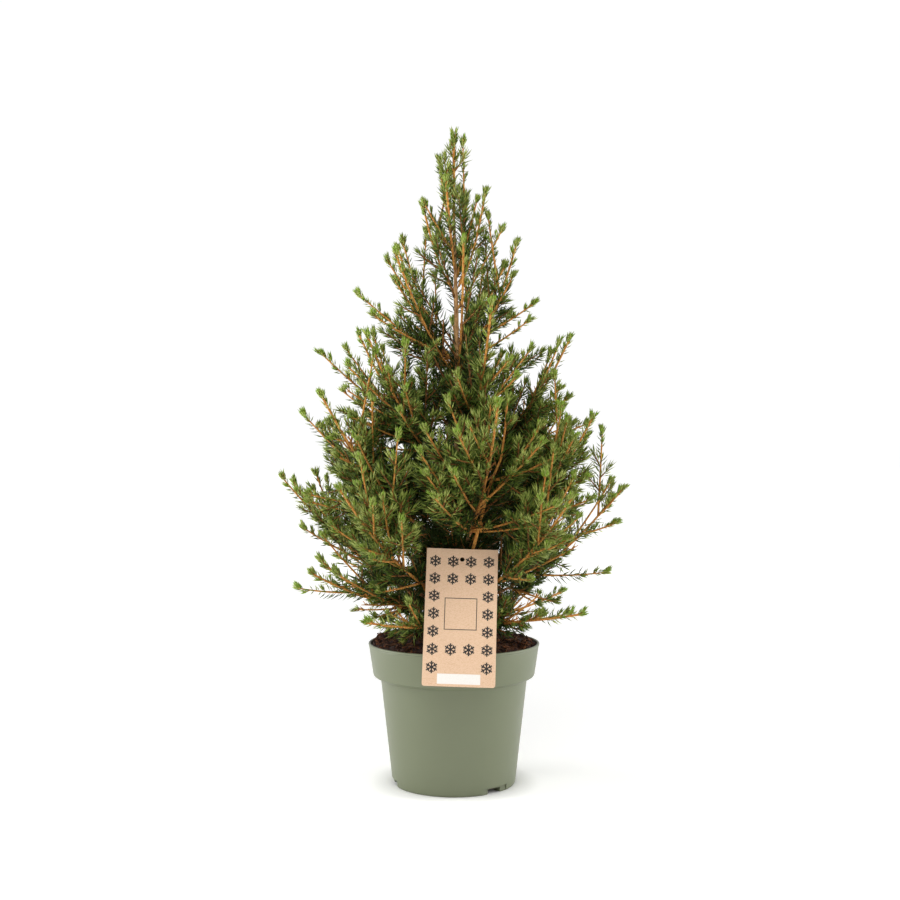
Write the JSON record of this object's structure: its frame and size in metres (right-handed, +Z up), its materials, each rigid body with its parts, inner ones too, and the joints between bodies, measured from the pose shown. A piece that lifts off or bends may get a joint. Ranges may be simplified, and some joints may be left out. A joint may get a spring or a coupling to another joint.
{
  "type": "potted dwarf alberta spruce",
  "caption": "Young conical dwarf spruce with upswept needled boughs, standing in a round sage-green nursery pot of bark compost, with a plain printed card label.",
  "frame": {"origin": "middle of the pot's flat underside", "axes": "+Z up along the plant, -Y towards the front with the label, +X to the right seen from the front"},
  "size_m": [0.3268, 0.319, 0.6535],
  "materials": {
    "pot": "moulded polypropylene in sage green, fine satin skin",
    "growing_medium": "loose moist bark fibre and peat, dark red-brown",
    "trunk_bark": "thin flaking grey-tan bark",
    "twig_bark": "ridged orange-brown twig bark with leaf pegs",
    "needles": "short waxy green needles, yellow-green at the shoot tips",
    "card_label": "uncoated kraft card printed in black and white"
  },
  "bodies": {
    "root": {"bough_middle_1": "twig_bark", "bough_middle_2": "twig_bark", "bough_middle_3": "twig_bark", "bough_middle_4": "twig_bark", "bough_middle_5": "twig_bark", "bough_middle_6": "twig_bark", "bough_skirt_1": "twig_bark", "bough_skirt_2": "twig_bark", "bough_skirt_3": "twig_bark", "bough_skirt_4": "twig_bark", "bough_skirt_5": "twig_bark", "bough_upper_1": "twig_bark", "bough_upper_2": "twig_bark", "bough_upper_3": "twig_bark", "bough_upper_4": "twig_bark", "bough_upper_5": "twig_bark", "bough_wide_1": "twig_bark", "bough_wide_2": "twig_bark", "bough_wide_3": "twig_bark", "bough_wide_4": "twig_bark", "bough_wide_5": "twig_bark", "bough_wide_6": "twig_bark", "foliage_leader": "needles", "foliage_middle_1": "needles", "foliage_middle_2": "needles", "foliage_middle_3": "needles", "foliage_middle_4": "needles", "foliage_middle_5": "needles", "foliage_middle_6": "needles", "foliage_shoulder_1": "needles", "foliage_shoulder_2": "needles", "foliage_shoulder_3": "needles", "foliage_shoulder_4": "needles", "foliage_shoulder_5": "needles", "foliage_skirt_1": "needles", "foliage_skirt_2": "needles", "foliage_skirt_3": "needles", "foliage_skirt_4": "needles", "foliage_skirt_5": "needles", "foliage_spire_1": "needles", "foliage_spire_2": "needles", "foliage_spire_3": "needles", "foliage_spire_4": "needles", "foliage_upper_1": "needles", "foliage_upper_2": "needles", "foliage_upper_3": "needles", "foliage_upper_4": "needles", "foliage_upper_5": "needles", "foliage_wide_1": "needles", "foliage_wide_2": "needles", "foliage_wide_3": "needles", "foliage_wide_4": "needles", "foliage_wide_5": "needles", "foliage_wide_6": "needles", "label": "card_label", "pot": "pot", "root_ball": "growing_medium", "trunk": "trunk_bark"}
  },
  "joints": []
}
